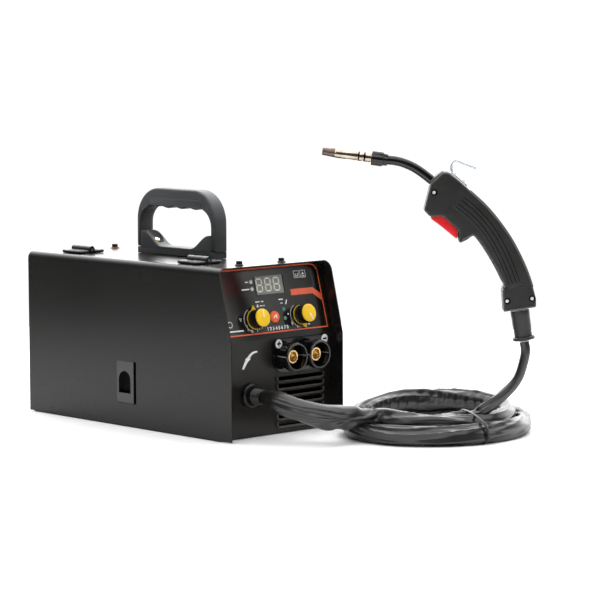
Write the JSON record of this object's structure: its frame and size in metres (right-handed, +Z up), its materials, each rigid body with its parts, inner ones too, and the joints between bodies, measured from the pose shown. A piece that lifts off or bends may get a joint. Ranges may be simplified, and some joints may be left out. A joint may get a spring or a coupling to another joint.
{
  "type": "mig welding machine",
  "caption": "Portable wire-feed welding machine with a hinged side door, a sloped control panel, a top handle and a torch on a coiled hose.",
  "frame": {"origin": "on the floor under the middle of the cabinet", "axes": "+Z up, the control panel faces -Y, the hinged door faces -X, +X is to the right of someone who faces the control panel"},
  "size_m": [0.3592, 0.6426, 0.3465],
  "materials": {
    "base_pan": "black powder coat",
    "front_panel": "black semi-gloss powder coat",
    "rear_panel": "black powder coat",
    "top_cover": "black semi-gloss powder coat",
    "divider_panel": "zinc-plated sheet",
    "handle_base": "fine-grained dark grey plastic",
    "handle_grip": "fine-grained dark grey plastic",
    "hinge_leaf_cover_front": "black cast zinc",
    "hinge_leaf_cover_rear": "black cast zinc",
    "hinge_pin_front": "bright steel",
    "hinge_pin_rear": "bright steel",
    "socket_bezel": "black glossy",
    "positive_socket": "black moulded plastic",
    "negative_socket": "black moulded plastic",
    "positive_contact": "machined brass",
    "negative_contact": "machined brass",
    "torch_gland": "black rubber",
    "control_board": "green circuit board",
    "display_module": "seven-segment display, unlit",
    "panel_overlay": "printed overlay film",
    "feed_motor": "plated steel can",
    "feeder_plate": "die-cast aluminium",
    "spool_spindle": "black plastic",
    "spool_nut": "black plastic",
    "main_board": "green circuit board",
    "heat_sink": "extruded aluminium",
    "transformer": "ferrite core and copper winding",
    "fan_frame": "black plastic",
    "power_cord_gland": "black rubber",
    "power_switch": "black plastic",
    "gas_valve": "brass",
    "torch_cable_lead": "wrinkled black sheath",
    "torch_cable_coil": "wrinkled black sheath",
    "torch_cable_riser": "wrinkled black sheath",
    "cable_tie": "black nylon",
    "torch_strain_relief": "black rubber",
    "torch_handle_left": "fine-grained dark grey plastic",
    "torch_handle_right": "fine-grained dark grey plastic",
    "torch_neck": "black sleeve",
    "nozzle_insulator": "black plastic",
    "gas_nozzle": "polished plated nozzle",
    "contact_tip": "copper",
    "torch_hook": "zinc-plated wire",
    "side_door": "dark semi-gloss powder coat",
    "hinge_leaf_door_front": "black cast zinc",
    "hinge_leaf_door_rear": "black cast zinc",
    "latch_frame": "black plastic",
    "latch_slider": "dark grey plastic",
    "voltage_knob": "black and yellow plastic",
    "wire_speed_knob": "black and yellow plastic",
    "mode_button": "orange-red plastic",
    "drive_roller": "hardened steel",
    "pressure_arm": "black plastic",
    "pressure_roller": "hardened steel",
    "tension_knob": "black plastic on a steel screw",
    "wire_spool": "plastic spool wound with welding wire",
    "power_switch_rocker": "red plastic",
    "fan_rotor": "black plastic",
    "torch_trigger": "red plastic"
  },
  "bodies": {
    "cabinet": {"base_pan": "base_pan", "front_panel": "front_panel", "rear_panel": "rear_panel", "top_cover": "top_cover", "divider_panel": "divider_panel", "handle_base": "handle_base", "handle_grip": "handle_grip", "hinge_leaf_cover_front": "hinge_leaf_cover_front", "hinge_leaf_cover_rear": "hinge_leaf_cover_rear", "hinge_pin_front": "hinge_pin_front", "hinge_pin_rear": "hinge_pin_rear", "socket_bezel": "socket_bezel", "positive_socket": "positive_socket", "negative_socket": "negative_socket", "positive_contact": "positive_contact", "negative_contact": "negative_contact", "torch_gland": "torch_gland", "control_board": "control_board", "display_module": "display_module", "panel_overlay": "panel_overlay", "feed_motor": "feed_motor", "feeder_plate": "feeder_plate", "spool_spindle": "spool_spindle", "spool_nut": "spool_nut", "main_board": "main_board", "heat_sink": "heat_sink", "transformer": "transformer", "fan_frame": "fan_frame", "power_cord_gland": "power_cord_gland", "power_switch": "power_switch", "gas_valve": "gas_valve", "torch_cable_lead": "torch_cable_lead", "torch_cable_coil": "torch_cable_coil", "torch_cable_riser": "torch_cable_riser", "cable_tie": "cable_tie", "torch_strain_relief": "torch_strain_relief", "torch_handle_left": "torch_handle_left", "torch_handle_right": "torch_handle_right", "torch_neck": "torch_neck", "nozzle_insulator": "nozzle_insulator", "gas_nozzle": "gas_nozzle", "contact_tip": "contact_tip", "torch_hook": "torch_hook"},
    "door": {"side_door": "side_door", "hinge_leaf_door_front": "hinge_leaf_door_front", "hinge_leaf_door_rear": "hinge_leaf_door_rear", "latch_frame": "latch_frame"},
    "latch": {"latch_slider": "latch_slider"},
    "voltage_knob": {"voltage_knob": "voltage_knob"},
    "wire_speed_knob": {"wire_speed_knob": "wire_speed_knob"},
    "mode_button": {"mode_button": "mode_button"},
    "drive_roller": {"drive_roller": "drive_roller"},
    "pressure_arm": {"pressure_arm": "pressure_arm"},
    "pressure_roller": {"pressure_roller": "pressure_roller"},
    "tension_screw": {"tension_knob": "tension_knob"},
    "wire_spool": {"wire_spool": "wire_spool"},
    "switch_rocker": {"power_switch_rocker": "power_switch_rocker"},
    "fan_rotor": {"fan_rotor": "fan_rotor"},
    "trigger": {"torch_trigger": "torch_trigger"}
  },
  "joints": [
    {"name": "door_hinge", "type": "hinge", "parent": "cabinet", "child": "door", "pos_m": [-0.057, 0.013, 0.2098], "axis": [0, 1, 0], "range_deg": [0, 180]},
    {"name": "latch_slide", "type": "slide", "parent": "door", "child": "latch", "axis": [0, -1, 0], "range_m": [0, 0.0042], "stiffness_N_per_m": 300},
    {"name": "voltage_knob_turn", "type": "hinge", "parent": "cabinet", "child": "voltage_knob", "pos_m": [-0.034, -0.16725, 0.13999], "axis": [0, -0.9701, 0.2425], "range_deg": [-146, 154]},
    {"name": "wire_speed_knob_turn", "type": "hinge", "parent": "cabinet", "child": "wire_speed_knob", "pos_m": [0.0415, -0.16725, 0.13999], "axis": [0, -0.9701, 0.2425], "range_deg": [0, 300]},
    {"name": "mode_button_press", "type": "slide", "parent": "cabinet", "child": "mode_button", "axis": [0, 0.9701, -0.2425], "range_m": [0, 0.0015], "stiffness_N_per_m": 600},
    {"name": "wire_spool_spin", "type": "hinge", "parent": "cabinet", "child": "wire_spool", "pos_m": [-0.0575, 0.075, 0.112], "axis": [1, 0, 0], "continuous": true},
    {"name": "drive_roller_spin", "type": "hinge", "parent": "cabinet", "child": "drive_roller", "pos_m": [-0.0443, -0.12, 0.0355], "axis": [1, 0, 0], "continuous": true},
    {"name": "tension_swing", "type": "hinge", "parent": "cabinet", "child": "tension_screw", "pos_m": [-0.0334, -0.093, 0.034], "axis": [-1, 0, 0], "range_deg": [0, 95]},
    {"name": "pressure_arm_lift", "type": "hinge", "parent": "cabinet", "child": "pressure_arm", "pos_m": [-0.0334, -0.147, 0.066], "axis": [1, 0, 0], "range_deg": [0, 12]},
    {"name": "pressure_roller_spin", "type": "hinge", "parent": "pressure_arm", "child": "pressure_roller", "pos_m": [-0.0443, -0.12, 0.0625], "axis": [1, 0, 0], "continuous": true},
    {"name": "power_switch_rock", "type": "hinge", "parent": "cabinet", "child": "switch_rocker", "pos_m": [0.055, 0.1866, 0.172], "axis": [1, 0, 0], "range_deg": [0, 16]},
    {"name": "fan_spin", "type": "hinge", "parent": "cabinet", "child": "fan_rotor", "pos_m": [0.036, 0.1764, 0.106], "axis": [0, 1, 0], "continuous": true},
    {"name": "trigger_pull", "type": "hinge", "parent": "cabinet", "child": "trigger", "pos_m": [0.10074, -0.33387, 0.264], "axis": [-0.6871, -0.7266, 0], "range_deg": [0, 5], "stiffness_Nm_per_rad": 0.6}
  ],
  "couplings": [
    {"joint": "drive_roller_spin", "follows": "wire_spool_spin", "ratio": -2.8},
    {"joint": "pressure_roller_spin", "follows": "wire_spool_spin", "ratio": 3.8182},
    {"joint": "pressure_arm_lift", "follows": "tension_swing", "ratio": 0.12}
  ]
}
